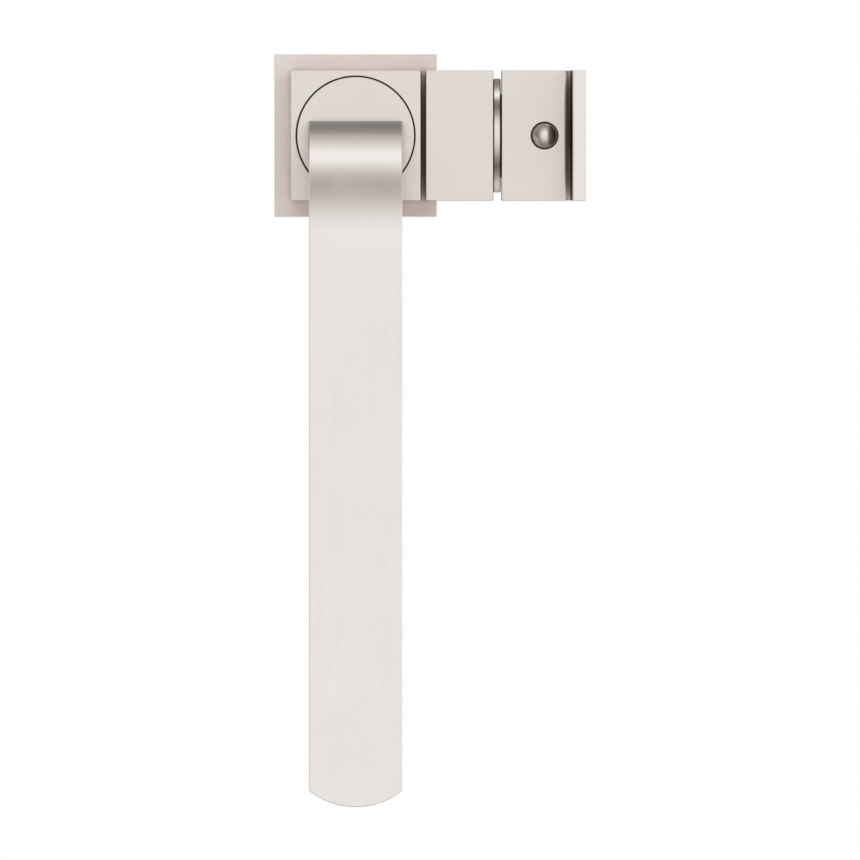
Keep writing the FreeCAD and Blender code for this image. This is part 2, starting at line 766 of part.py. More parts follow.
def trim_tip(body, tip):
    """Cuts the strap's end to a shallow arc across its width."""
    sketch = new_sketch(body, "XY_Plane")
    radius = SIZES["strap_tip_radius"]
    half = SIZES["strap_width"] / 2
    rise = math.sqrt(radius ** 2 - half ** 2)
    centre = FreeCAD.Vector(0, SIZES["strap_reach"] + SIZES["strap_thickness"] / 2 - radius, 0)
    right = centre + FreeCAD.Vector(half, rise, 0)
    left = centre + FreeCAD.Vector(-half, rise, 0)
    beyond = FreeCAD.Vector(0, radius, 0)
    circle = Part.Circle(centre, FreeCAD.Vector(0, 0, 1), radius)
    corner = math.atan2(rise, half)
    arc = sketch.addGeometry(Part.ArcOfCircle(circle, corner, math.pi - corner), False)
    right_side = sketch.addGeometry(Part.LineSegment(right, right + beyond), False)
    top_side = sketch.addGeometry(Part.LineSegment(right + beyond, left + beyond), False)
    left_side = sketch.addGeometry(Part.LineSegment(left + beyond, left), False)
    for one, one_end, two, two_end in ((arc, 1, right_side, 1), (right_side, 2, top_side, 1),
                                       (top_side, 2, left_side, 1), (left_side, 2, arc, 2)):
        sketch.addConstraint(Sketcher.Constraint("Coincident", one, one_end, two, two_end))
    sketch.addConstraint(Sketcher.Constraint("Vertical", right_side))
    sketch.addConstraint(Sketcher.Constraint("Vertical", left_side))
    radius_lock = sketch.addConstraint(Sketcher.Constraint("Radius", arc, radius))
    bind(sketch, f"Constraints[{radius_lock}]", "strap_tip_radius")
    pin_point(sketch, arc, 3, "0", f"{tip} - strap_tip_radius")
    pin_point(sketch, top_side, 1, "strap_width / 2", f"{tip} + strap_thickness")
    pin_point(sketch, top_side, 2, "-strap_width / 2", f"{tip} + strap_thickness")
    pocket(body, sketch, f"strap_front - {DISC_BACK}", away=True)


def is_outline_edge(edge, root):
    """The strap's long outline edges, apart from its root in the disc."""
    box = edge.BoundBox
    across = box.XLength > TOUCHING and box.YLength < TOUCHING and box.ZLength < TOUCHING
    upright = box.XLength < TOUCHING and box.YLength < TOUCHING
    through = upright and box.ZLength > SIZES["strap_thickness"] - 2 * SIZES["strap_bevel"]
    return box.ZMax > root and not across and not through


def make_lever_screw():
    shank = "lever_screw_diameter / 2"
    head = "lever_screw_head / 2"
    screw = turned("lever_screw", FRONTWARD, [
        ("0", "socket_depth_front"), (head, "socket_depth_front"), (head, "screw_seat_front"),
        (shank, "screw_seat_front"), (shank, "lever_screw_front"), ("0", "lever_screw_front"),
    ])
    socket = new_sketch(screw, "XY_Plane", "socket_depth_front")
    draw_circle(socket, "lever_screw_socket")
    pocket(screw, socket, "lever_screw_socket_depth", away=True)
    return screw


def make_hub_dowel_pins():
    pins = []
    for number, up in enumerate(("hub_pin_offset", "-hub_pin_offset"), start=1):
        pins.append(rod(f"hub_dowel_{number}", FRONTWARD, "hub_pin_diameter / 2", "hub_pin_length",
                        front=f"{DISC_BACK} - hub_pin_length / 2", up=up))
    return group("hub_dowel_pins", pins)


def make_hub_nut():
    inner = "tail_diameter / 2"
    outer = "nut_diameter / 2"
    body = turned("hub_nut", FRONTWARD, [
        (inner, "tail_front"), (outer, "tail_front"), (outer, "tail_front + nut_thickness"),
        (inner, "tail_front + nut_thickness"),
    ])
    slot = new_sketch(body, "XY_Plane", "tail_front")
    draw_rectangle(slot, "nut_slot_width", "nut_diameter + slot_overrun")
    pocket(body, slot, "nut_slot_depth", away=True)
    return body


def make_wave_washer():
    start = "tail_front + nut_thickness + end_gap"
    end = f"{start} + washer_thickness"
    inner = "tail_diameter / 2 + washer_gap"
    outer = "nut_diameter / 2"
    return turned("wave_washer", FRONTWARD, [
        (inner, start), (outer, start), (outer, end), (inner, end),
    ])


def make_square_spindle():
    body = new_body("square_spindle", FRONTWARD, front="-spindle_reach")
    section = new_sketch(body, "XY_Plane")
    draw_rectangle(section, "spindle_side", "spindle_side")
    pad(body, section, "spindle_reach + spindle_front")
    ends = edges_where(body.Tip.Shape, lambda edge: edge.BoundBox.ZLength < TOUCHING)
    bevel(body, "spindle_bevel", ends)
    pin_hole = new_sketch(body, "YZ_Plane")
    draw_circle(pin_hole, "spindle_pin_diameter", "0", "spindle_reach + spindle_pin_front")
    pocket(body, pin_hole, "spindle_side * 2", both_ways=True)
    return body


def make_spindle_pin():
    rotation = FreeCAD.Rotation(FreeCAD.Vector(0, 1, 0), 90)
    pin = rod("spindle_pin", rotation, "spindle_pin_diameter / 2",
              "spindle_pin_length", right="-spindle_pin_length / 2", front="spindle_pin_front")
    pin.Label = "spindle_pin"
    return pin


# ---------------------------------------------------------------- lock arm

def arm_body(label):
    return new_body(label, ALONG_ARM, front=ARM_AXIS)


def arm_turned(label, corners):
    return turned(label, ALONG_ARM, corners, front=ARM_AXIS)


def make_arm_spacer():
    body = arm_body("arm_spacer")
    plate = new_sketch(body, "XY_Plane", HALF_BLOCK)
    draw_rectangle(plate, "spacer_height", "spacer_depth")
    draw_circle(plate, "nipple_diameter + 2 * passage_gap")
    draw_circle(plate, "arm_pin_diameter", "arm_pin_offset", "0")
    draw_circle(plate, "arm_pin_diameter", "-arm_pin_offset", "0")
    pad(body, plate, "shadow_gap")
    return body


def make_arm_dowel_pins():
    pins = []
    start = f"{HALF_BLOCK} + shadow_gap / 2 - arm_pin_length / 2"
    for number, up in enumerate(("arm_pin_offset", "-arm_pin_offset"), start=1):
        pins.append(rod(f"arm_dowel_{number}", ALONG_ARM, "arm_pin_diameter / 2", "arm_pin_length",
                        right=start, front=ARM_AXIS, up=up))
    return group("arm_dowel_pins", pins)


def make_arm_nipple():
    outer = "nipple_diameter / 2"
    flange = "nipple_flange_diameter / 2"
    way = "bolt_diameter / 2 + bolt_clearance"
    tail_way = "bolt_tail_diameter / 2 + bolt_clearance"
    end = f"{LOCK_BODY_FLOOR} + nipple_flange_thickness"
    body = arm_turned("arm_nipple", [
        (way, "nipple_start"), (outer, "nipple_start"), (outer, LOCK_BODY_FLOOR),
        (flange, LOCK_BODY_FLOOR), (flange, end), (tail_way, end),
        (tail_way, "nipple_bore_start"), (way, "nipple_bore_start"),
    ])
    slots = new_sketch(body, "XZ_Plane")
    span = "key_slot_half_span"
    start = "key_slot_start"
    draw_outline(slots, [(f"-{span}", start), (span, start), (span, end), (f"-{span}", end)])
    pocket(body, slots, "key_slot_width", both_ways=True)
    return body


def make_lock_body():
    body = arm_body("lock_body")
    block = new_sketch(body, "XY_Plane", LOCK_BODY_START)
    draw_rectangle(block, "block_side", "block_side")
    pad(body, block, "lock_body_length")
    bevel(body, "block_bevel")
    passage = "nipple_diameter / 2 + passage_gap"
    bore = "lock_body_bore / 2"
    bore_out(body, [
        ("0", LOCK_BODY_START), (passage, LOCK_BODY_START), (passage, LOCK_BODY_FLOOR),
        (bore, LOCK_BODY_FLOOR), (bore, LOCK_BODY_END), ("0", LOCK_BODY_END),
    ])
    pin_holes = new_sketch(body, "XY_Plane", LOCK_BODY_START)
    draw_circle(pin_holes, "arm_pin_diameter", "arm_pin_offset", "0")
    draw_circle(pin_holes, "arm_pin_diameter", "-arm_pin_offset", "0")
    pocket(body, pin_holes, "arm_pin_hole_depth", away=True)
    return body


def make_neck_ring():
    inner = "shaft_diameter / 2 + ring_running_gap"
    sleeve = "lock_body_bore / 2"
    rim = "ring_diameter / 2"
    body = arm_turned("neck_ring", [
        (inner, f"{LOCK_BODY_END} - ring_sleeve"), (sleeve, f"{LOCK_BODY_END} - ring_sleeve"),
        (sleeve, LOCK_BODY_END), (f"{rim} - ring_bevel", LOCK_BODY_END),
        (rim, f"{LOCK_BODY_END} + ring_bevel"), (rim, f"{RING_END} - ring_bevel"),
        (f"{rim} - ring_bevel", RING_END), (inner, RING_END),
    ])
    return body


def make_lock_knob():
    """The square block that turns, with a fin standing forward from its outer end."""
    body = arm_body("lock_knob")
    profile = new_sketch(body, "YZ_Plane")
    rear = "-block_side / 2"
    front = "block_side / 2"
    fin_front = "(block_side / 2 + fin_height)"
    fin_end = f"{FIN_START} + fin_thickness"
    draw_outline(profile, [
        (rear, KNOB_START), (front, KNOB_START), (front, FIN_START),
        (fin_front, FIN_START), (fin_front, fin_end), (rear, fin_end),
    ])
    pad(body, profile, "block_side", both_ways=True)
    half = SIZES["block_side"] / 2
    shape = body.Tip.Shape
    fin_start = shape.BoundBox.ZMax - SIZES["fin_thickness"]

    def is_root(edge):
        box = edge.BoundBox
        return box.XLength > 1 and abs(box.YMin - half) < TOUCHING and abs(box.ZMin - fin_start) < TOUCHING

    round_edges(body, "fin_fillet", edges_where(shape, is_root))

    def is_sharp(edge):
        """Every edge but the two lines where the fillet runs out into its flats."""
        box = edge.BoundBox
        along = box.XLength > 1
        near = SIZES["fin_fillet"] + TOUCHING
        fillet_end = abs(box.YMin - half) < TOUCHING and abs(box.ZMin - fin_start) < near
        fillet_top = abs(box.ZMin - fin_start) < TOUCHING and abs(box.YMin - half) < near
        return not (along and (fillet_end or fillet_top))

    bevel(body, "block_bevel", edges_where(body.Tip.Shape, is_sharp))
    recess = "knob_washer_diameter / 2 + passage_gap"
    socket = "shaft_diameter / 2"
    recess_end = f"{KNOB_START} + knob_washer_recess"
    socket_end = f"{KNOB_START} + knob_socket_depth"
    bore_out(body, [
        ("0", KNOB_START), (recess, KNOB_START), (recess, recess_end), (socket, recess_end),
        (socket, socket_end), ("0", socket_end),
    ])
    hole = new_sketch(body, "XZ_Plane", "-block_side / 2")
    draw_circle(hole, "button_hole", "0", BUTTON_AXIS)
    pocket(body, hole, "button_lip + knob_bore_overlap", away=True)
    guide = new_sketch(body, "XZ_Plane", "block_side / 2")
    draw_circle(guide, "button_bore", "0", BUTTON_AXIS)
    pocket(body, guide, "block_side - button_lip")
    plug_hole = new_sketch(body, "XZ_Plane", "block_side / 2")
    draw_circle(plug_hole, "plug_diameter", "0", BUTTON_AXIS)
    pocket(body, plug_hole, "plug_length")
    screw_hole = new_sketch(body, "XZ_Plane", "block_side / 2")
    draw_circle(screw_hole, "knob_screw_diameter", "0", "knob_screw_position")
    pocket(body, screw_hole, "block_side / 2 - shaft_diameter / 2 + knob_bore_overlap")
    return body


def make_lock_shaft():
    nose = "shaft_nose_diameter / 2"
    collar = "shaft_collar_diameter / 2"
    journal = "shaft_diameter / 2"
    groove = "shaft_diameter / 2 - o_ring_wire + o_ring_play"
    collar_end = "shaft_collar_start + shaft_collar_width"
    groove_start = "o_ring_position - o_ring_wire / 2 - end_gap"
    groove_end = "o_ring_position + o_ring_wire / 2 + end_gap"
    end = f"{KNOB_START} + shaft_length_in_knob"
    return arm_turned("lock_shaft", [
        ("0", "shaft_nose_start"), (nose, "shaft_nose_start"), (nose, "shaft_collar_start"),
        (collar, "shaft_collar_start"), (collar, collar_end), (journal, collar_end),
        (journal, groove_start), (groove, groove_start), (groove, groove_end),
        (journal, groove_end), (journal, end), ("0", end),
    ])


def make_shaft_o_ring():
    ring = doc.addObject("Part::Torus", "shaft_o_ring")
    ring.Label = "shaft_o_ring"
    bind(ring, "Radius1", "shaft_diameter / 2 + running_gap - o_ring_wire / 2")
    bind(ring, "Radius2", "o_ring_wire / 2")
    place(ring, ALONG_ARM, right="o_ring_position", front=ARM_AXIS)
    return ring


def make_knob_washer():
    start = f"{RING_END} + knob_washer_play"
    end = f"{KNOB_START} + knob_washer_recess"
    inner = "shaft_diameter / 2 + passage_gap"
    outer = "knob_washer_diameter / 2"
    return arm_turned("knob_washer", [(inner, start), (outer, start), (outer, end), (inner, end)])


def make_knob_grub_screw():
    radius = "knob_screw_diameter / 2"
    start = "shaft_diameter / 2"
    end = "shaft_diameter / 2 + knob_screw_length"
    screw = turned("knob_grub_screw", REARWARD, [
        ("0", start), (radius, start), (radius, end), ("0", end),
    ], right="knob_screw_position", front=ARM_AXIS)
    return drive_hole(screw, end, "knob_screw_socket", "knob_screw_socket_depth")


def make_lock_bolt():
    tip = "bolt_diameter / 2"
    tail = "bolt_tail_diameter / 2"
    thread = "bolt_thread_diameter / 2"
    body = arm_turned("lock_bolt", [
        ("0", "bolt_start"), (f"{tip} - bolt_nose_bevel", "bolt_start"),
        (tip, "bolt_start + bolt_nose_bevel"),
        (tip, "bolt_shoulder"), (tail, "bolt_shoulder"), (tail, "bolt_end"), (thread, "bolt_end"),
        (thread, "bolt_thread_start"), ("0", "bolt_thread_start"),
    ])
    hole = new_sketch(body, "YZ_Plane")
    draw_circle(hole, "key_pin_diameter", "0", "key_pin_position")
    pocket(body, hole, "bolt_tail_diameter * 2", both_ways=True)
    return body


def make_bolt_key_pin():
    rotation = FreeCAD.Rotation()
    pin = rod("bolt_key_pin", rotation, "key_pin_diameter / 2", "key_pin_length",
              right="key_pin_position", front=ARM_AXIS, up="-key_pin_length / 2")
    pin.Label = "bolt_key_pin"
    return pin


# ---------------------------------------------------------------- release button

def make_release_button():
    """A domed button on a guide flange, with a stem that the spring sits around."""
    radius = "button_diameter / 2"
    shoulder = f"({FACE} - button_shoulder_drop)"
    guide_back = f"({BUTTON_GUIDE_FRONT} - button_guide_thickness)"
    cap_depth = "sqrt(button_dome_radius ^ 2 - button_diameter ^ 2 / 4)"
    shaft = rod("button_shaft", FRONTWARD, radius, f"{shoulder} - {guide_back}",
                right=BUTTON_AXIS, front=guide_back)
    guide = rod("button_guide", FRONTWARD, "button_guide_diameter / 2", "button_guide_thickness",
                right=BUTTON_AXIS, front=guide_back)
    stem = rod("button_stem", FRONTWARD, "button_stem_diameter / 2",
               f"{guide_back} - button_stem_front", right=BUTTON_AXIS, front="button_stem_front")
    sphere = doc.addObject("Part::Sphere", "button_sphere")
    bind(sphere, "Radius", "button_dome_radius")
    place(sphere, FRONTWARD, right=BUTTON_AXIS, front=f"{shoulder} - {cap_depth}")
    limit = rod("button_limit", FRONTWARD, radius, "button_dome_radius",
                right=BUTTON_AXIS, front=f"{shoulder} - button_play")
    dome = combine("Common", "button_dome", sphere, limit)
    turned_part = combine("Fuse", "button_turned", combine("Fuse", "button_core", shaft, guide), stem)
    return combine("Fuse", "release_button", turned_part, dome)


def make_button_spring():
    start = "(rose_thickness + plug_length)"
    length = f"{BUTTON_GUIDE_FRONT} - button_guide_thickness - {start} - 2 * button_spring_play"
    return coil("button_spring", FRONTWARD, "button_spring_radius", "button_spring_wire",
                "button_spring_pitch", length, right=BUTTON_AXIS,
                front=f"{start} + button_spring_wire / 2 + button_spring_play")


def make_button_plug():
    start = "rose_thickness + plug_inset"
    end = "rose_thickness + plug_length"
    floor = "rose_thickness + plug_length - plug_bore_depth"
    radius = "plug_diameter / 2"
    bore = "plug_bore / 2"
    body = turned("button_plug", FRONTWARD, [
        ("0", start), (radius, start), (radius, end), (bore, end), (bore, floor), ("0", floor),
    ], right=BUTTON_AXIS)
    slot = new_sketch(body, "XY_Plane", start)
    draw_rectangle(slot, "plug_slot", "plug_diameter + slot_overrun")
    pocket(body, slot, "plug_slot", away=True)
    return body


# ---------------------------------------------------------------- build and export

SUBPARTS = (
    make_rose_plate, make_rose_gasket, make_fixing_screws, make_housing, make_housing_grub_screw,
    make_front_bush, make_rear_bush, make_detent_body, make_detent_ball, make_detent_spring,
    make_lever_disc, make_lever_hub, make_lever_strap, make_lever_screw, make_hub_dowel_pins,
    make_hub_nut, make_wave_washer, make_square_spindle, make_spindle_pin,
    make_arm_spacer, make_arm_dowel_pins, make_arm_nipple, make_lock_body, make_neck_ring,
    make_lock_knob, make_lock_shaft, make_shaft_o_ring, make_knob_washer, make_knob_grub_screw,
    make_lock_bolt, make_bolt_key_pin, make_release_button, make_button_spring, make_button_plug,
)


def check_document():
    for item in doc.Objects:
        if "Invalid" in item.State or "Error" in item.State:
            raise RuntimeError(f"{item.Label} failed: {item.State}")


def export(pieces):
    os.makedirs("parts", exist_ok=True)
    for piece in pieces:
        shape = piece.Shape
        if shape.isNull() or not shape.isValid():
            raise RuntimeError(f"{piece.Label} has no valid shape")
        shape.exportStep(f"parts/{piece.Label}.step")
        print(f"{piece.Label:20s} {len(shape.Solids)} solid(s) {shape.Volume:10.1f} mm3")


make_sheet()
subparts = [make() for make in SUBPARTS]
doc.recompute()
check_document()
export(subparts)
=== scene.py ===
import bpy
import json
import math
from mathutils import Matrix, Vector


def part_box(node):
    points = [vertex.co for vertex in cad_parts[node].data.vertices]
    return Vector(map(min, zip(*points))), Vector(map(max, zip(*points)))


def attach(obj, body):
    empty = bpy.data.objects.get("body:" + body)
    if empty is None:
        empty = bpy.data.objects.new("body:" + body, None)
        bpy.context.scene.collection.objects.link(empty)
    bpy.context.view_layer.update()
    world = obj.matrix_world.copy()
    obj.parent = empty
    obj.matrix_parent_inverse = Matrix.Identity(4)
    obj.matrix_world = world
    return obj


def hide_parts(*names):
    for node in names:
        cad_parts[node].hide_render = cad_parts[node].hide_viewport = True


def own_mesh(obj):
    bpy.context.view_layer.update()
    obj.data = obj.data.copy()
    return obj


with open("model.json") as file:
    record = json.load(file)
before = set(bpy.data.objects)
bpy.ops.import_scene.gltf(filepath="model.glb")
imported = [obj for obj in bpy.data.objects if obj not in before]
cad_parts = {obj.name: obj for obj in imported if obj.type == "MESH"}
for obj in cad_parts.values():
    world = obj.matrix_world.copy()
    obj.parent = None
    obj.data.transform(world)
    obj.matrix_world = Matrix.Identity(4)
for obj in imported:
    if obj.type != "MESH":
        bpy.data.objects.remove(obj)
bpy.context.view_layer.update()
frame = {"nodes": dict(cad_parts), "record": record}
scene = bpy.context.scene

housing_low, housing_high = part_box("housing")
knob_low, knob_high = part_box("lock_knob")
strap_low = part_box("lever_strap")[0]
gap_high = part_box("arm_spacer")[1]

# ---------------------------------------------------------------- view

VIEW_WIDTH = 0.1845          # metres across the picture
VIEW_PLANE = -0.045          # the depth at which the picture is that wide
LENS = 1700.0                # a very long lens, so that the view is nearly parallel
SENSOR = 36.0
FAR = 100.0                  # how far the camera sees
ASIDE = Vector((-0.00174, 0, 0.00173))     # the view's middle, away from the handle's middle


def make_camera():
    """Stands straight in front of the spindle and looks at the middle of the handle."""
    data = bpy.data.cameras.new("camera")
    data.sensor_width = SENSOR
    data.lens = LENS
    data.clip_end = FAR
    camera = bpy.data.objects.new("camera", data)
    scene.collection.objects.link(camera)
    top_left = Vector((housing_low.x, VIEW_PLANE, housing_high.z))
    bottom_right = Vector((knob_high.x, VIEW_PLANE, strap_low.z))
    middle = (top_left + bottom_right) / 2 + ASIDE
    camera.location = (0, VIEW_PLANE - VIEW_WIDTH * LENS / SENSOR, 0)
    camera.rotation_euler = (middle - camera.location).to_track_quat("-Z", "Y").to_euler()
    scene.camera = camera


# ---------------------------------------------------------------- node trees

WHITE = (1.0, 1.0, 1.0, 1.0)
EVEN = (1.0, 1.0, 1.0)       # fades red, green and blue alike


class Tree:
    """Adds nodes to a node tree. A value may be a number, a colour or another node's output."""

    def __init__(self, tree):
        self.nodes = tree.nodes
        self.links = tree.links

    def feed(self, socket, value):
        if isinstance(value, bpy.types.NodeSocket):
            self.links.new(value, socket)
        else:
            socket.default_value = value

    def add(self, kind, settings=(), **inputs):
        node = self.nodes.new(kind)
        for name, value in dict(settings).items():
            setattr(node, name, value)
        for name, value in inputs.items():
            self.feed(node.inputs[name.replace("_", " ")], value)
        return node

    def math(self, operation, first, second=0.0):
        node = self.nodes.new("ShaderNodeMath")
        node.operation = operation
        self.feed(node.inputs[0], first)
        self.feed(node.inputs[1], second)
        return node.outputs[0]

    def vector_math(self, operation, first, second):
        node = self.nodes.new("ShaderNodeVectorMath")
        node.operation = operation
        self.feed(node.inputs[0], first)
        self.feed(node.inputs[1], second)
        return node.outputs["Value"] if operation == "DOT_PRODUCT" else node.outputs[0]

    def blend(self, kind, factor, first, second, mode="MIX"):
        """Mixes two floats, vectors or colours; kind is FLOAT, VECTOR or RGBA."""
        node = self.nodes.new("ShaderNodeMix")
        node.data_type = kind
        if kind == "RGBA":
            node.blend_type = mode
        one, other, result = {"FLOAT": (2, 3, 0), "VECTOR": (4, 5, 1), "RGBA": (6, 7, 2)}[kind]
        self.feed(node.inputs[0], factor)
        self.feed(node.inputs[one], first)
        self.feed(node.inputs[other], second)
        return node.outputs[result]

    def remap(self, value, low, high, to_low, to_high, smooth=False):
        node = self.nodes.new("ShaderNodeMapRange")
        if smooth:
            node.interpolation_type = "SMOOTHSTEP"
        for index, number in enumerate((value, low, high, to_low, to_high)):
            self.feed(node.inputs[index], number)
        return node.outputs[0]

    def fraction(self, value, low, high):
        """How far a value is from low (0) to high (1)."""
        return self.remap(value, low, high, 0.0, 1.0)

    def vary(self, noise, low, high, spread=0.25):
        """Turns a noise, most of which lies within spread of 0.5, into low to high."""
        return self.remap(noise, 0.5 - spread, 0.5 + spread, low, high)

    def ramp(self, value, stops, warmth=EVEN):
        """A curve of levels, given as (position, level) pairs; warmth tints the dim ones."""
        node = self.nodes.new("ShaderNodeValToRGB")
        elements = node.color_ramp.elements
        while len(elements) < len(stops):
            elements.new(0.5)
        for element, (position, level) in zip(elements, stops):
            element.position = position
            fades = warmth if level < 1 else EVEN
            element.color = (*(level ** fade for fade in fades), 1)
        self.feed(node.inputs[0], value)
        return node.outputs[0]

    def split(self, vector):
        node = self.nodes.new("ShaderNodeSeparateXYZ")
        self.feed(node.inputs[0], vector)
        return node.outputs

    def scaled(self, vector, scale):
        node = self.nodes.new("ShaderNodeMapping")
        self.feed(node.inputs["Vector"], vector)
        node.inputs["Scale"].default_value = scale
        return node.outputs[0]

    def noise(self, vector, scale=1.0, detail=3.0, roughness=0.6, distortion=0.0):
        node = self.add("ShaderNodeTexNoise", Vector=vector, Scale=scale, Detail=detail,
                        Roughness=roughness, Distortion=distortion)
        return node.outputs[0]


# ---------------------------------------------------------------- studio

# Brightness of the studio by angle away from the room side, which is 0: upwards and to the
# right count as positive, and 180 is straight behind the handle.
UP_AND_DOWN = (
    (-180, 0.60), (-172, 0.40), (-135, 0.80), (-110, 0.84), (-91, 0.50), (-64, 0.23),
    (-48, 0.42), (-34, 0.70), (-15, 1.00), (0, 1.16), (15, 1.16), (23, 1.14), (32, 0.97),
    (40, 0.74), (50, 0.46), (60, 0.32), (68, 0.30), (76, 0.50), (84, 1.00), (92, 1.50),
    (100, 1.10), (112, 0.55), (124, 0.40), (140, 0.34), (157, 0.33), (172, 0.30), (180, 0.60),
)
SIDE_TO_SIDE = (
    (-180, 0.60), (-172, 0.25), (-150, 0.22), (-125, 0.35), (-110, 0.70), (-92, 1.20),
    (-76, 0.38), (-56, 0.22), (-35, 0.30), (-17, 1.05), (0, 1.16), (20, 1.16), (38, 1.05),
    (56, 0.90), (76, 0.75), (92, 1.40), (110, 0.75), (130, 0.35), (150, 0.22), (172, 0.25),
    (180, 0.60),
)
STUDIO_WARMTH = (1.0, 1.15, 1.30)     # green and blue fade faster than red in the dim parts
NEVER_ZERO = 1e-6                     # keeps a divisor above nothing


def level_by_angle(tree, angle, side, table):
    """The brightness at an angle from the room side, which is negative where side is."""
    signed = tree.math("MULTIPLY", angle, tree.math("SIGN", side))
    stops = [((degrees + 180) / 360, level) for degrees, level in table]
    return tree.ramp(tree.fraction(signed, -math.pi, math.pi), stops, STUDIO_WARMTH)


def make_world():
    """Soft panels all round, which only the handle and the floor see, in front of white."""
    world = bpy.data.worlds.new("studio")
    scene.world = world
    world.use_nodes = True
    tree = Tree(world.node_tree)
    tree.nodes.clear()
    direction = tree.split(tree.add("ShaderNodeTexCoord").outputs["Generated"])
    angle = tree.math("ARCCOSINE", tree.math("MULTIPLY", direction["Y"], -1.0))
    upright = tree.math("MULTIPLY", direction["Z"], direction["Z"])
    level = tree.math("MULTIPLY", direction["X"], direction["X"])
    whole = tree.math("ADD", tree.math("ADD", upright, level), NEVER_ZERO)
    light = tree.blend(
        "RGBA", tree.math("DIVIDE", upright, whole),
        level_by_angle(tree, angle, direction["X"], SIDE_TO_SIDE),
        level_by_angle(tree, angle, direction["Z"], UP_AND_DOWN),
    )
    studio = tree.add("ShaderNodeBackground", Color=light)
    plain = tree.add("ShaderNodeBackground", Color=WHITE)
    looked_at = tree.add("ShaderNodeLightPath").outputs["Is Camera Ray"]
    seen = tree.add("ShaderNodeMixShader", Fac=looked_at)
    tree.links.new(studio.outputs[0], seen.inputs[1])
    tree.links.new(plain.outputs[0], seen.inputs[2])
    tree.add("ShaderNodeOutputWorld", Surface=seen.outputs[0])
    scene.view_settings.view_transform = "Standard"
    scene.view_settings.look = "None"


FLOOR_HALF = 1.5
FLOOR_LEVEL = -0.32
FLOOR_COLOUR = (0.92, 0.92, 0.92, 1.0)
FLOOR_ROUGHNESS = 0.85
FLOOR_GLOW = 0.50            # makes the floor as light as the background, with no edge seen


def make_floor():
    """A pale floor well below the handle, which the metal doesn't mirror."""
    corners = [(-1, -1), (1, -1), (1, 1), (-1, 1)]
    mesh = bpy.data.meshes.new("studio_floor")
    mesh.from_pydata([(x * FLOOR_HALF, y * FLOOR_HALF, FLOOR_LEVEL) for x, y in corners],
                     [], [(0, 1, 2, 3)])
    floor = bpy.data.objects.new("studio_floor", mesh)
    scene.collection.objects.link(floor)
    material = bpy.data.materials.new("pale_floor")
    material.use_nodes = True
    shader = material.node_tree.nodes["Principled BSDF"]
    shader.inputs["Base Color"].default_value = FLOOR_COLOUR
    shader.inputs["Roughness"].default_value = FLOOR_ROUGHNESS
    shader.inputs["Emission Color"].default_value = WHITE
    shader.inputs["Emission Strength"].default_value = FLOOR_GLOW
    mesh.materials.append(material)
    floor.visible_glossy = False


# ---------------------------------------------------------------- materials

SAMPLES = {"samples": 6}     # for the edges and the openness
EDGE_RADIUS = 0.00012        # how far an edge's painted highlight and softness reach
STRAP_EDGE_RADIUS = 0.00003
EDGE_STARTS = 0.995          # cosine of the softened normal's turn where the edges' painted highlight and smoothing start
EDGE_FULL = 0.90             # and where it is full
CAVITY_REACH = 0.0025        # how near a wall has to be for a place to get painted shade
CAVITY_OPEN = 0.60           # openness from which a place has no painted shade
OCCLUSION_SHADE_REACH = 0.05         # how far round a place its walls reach for the painted shade of larger hollows
# Painted shade by openness, from closed (0) to open (1); its tint warms the dim parts.
OCCLUSION_SHADE = ((0.0, 0.82), (0.5, 0.91), (0.85, 0.975), (1.0, 1.0))
OCCLUSION_SHADE_WARMTH = (1.0, 1.6, 1.85)
SMUDGE_SCALE = 70.0          # smudges per metre
POLISHED_SMUDGE_SCALE = 210.0
SIDEWAYS = 0.8               # a face looks along an axis from this share of its normal on
OBJECT_AXES = {"X": (1, 0, 0), "Y": (0, 1, 0), "Z": (0, 0, 1)}


def opaque(colour, times=1.0):
    """A colour as a node takes it, made lighter without passing white."""
    return (*(min(1.0, level * times) for level in colour), 1.0)


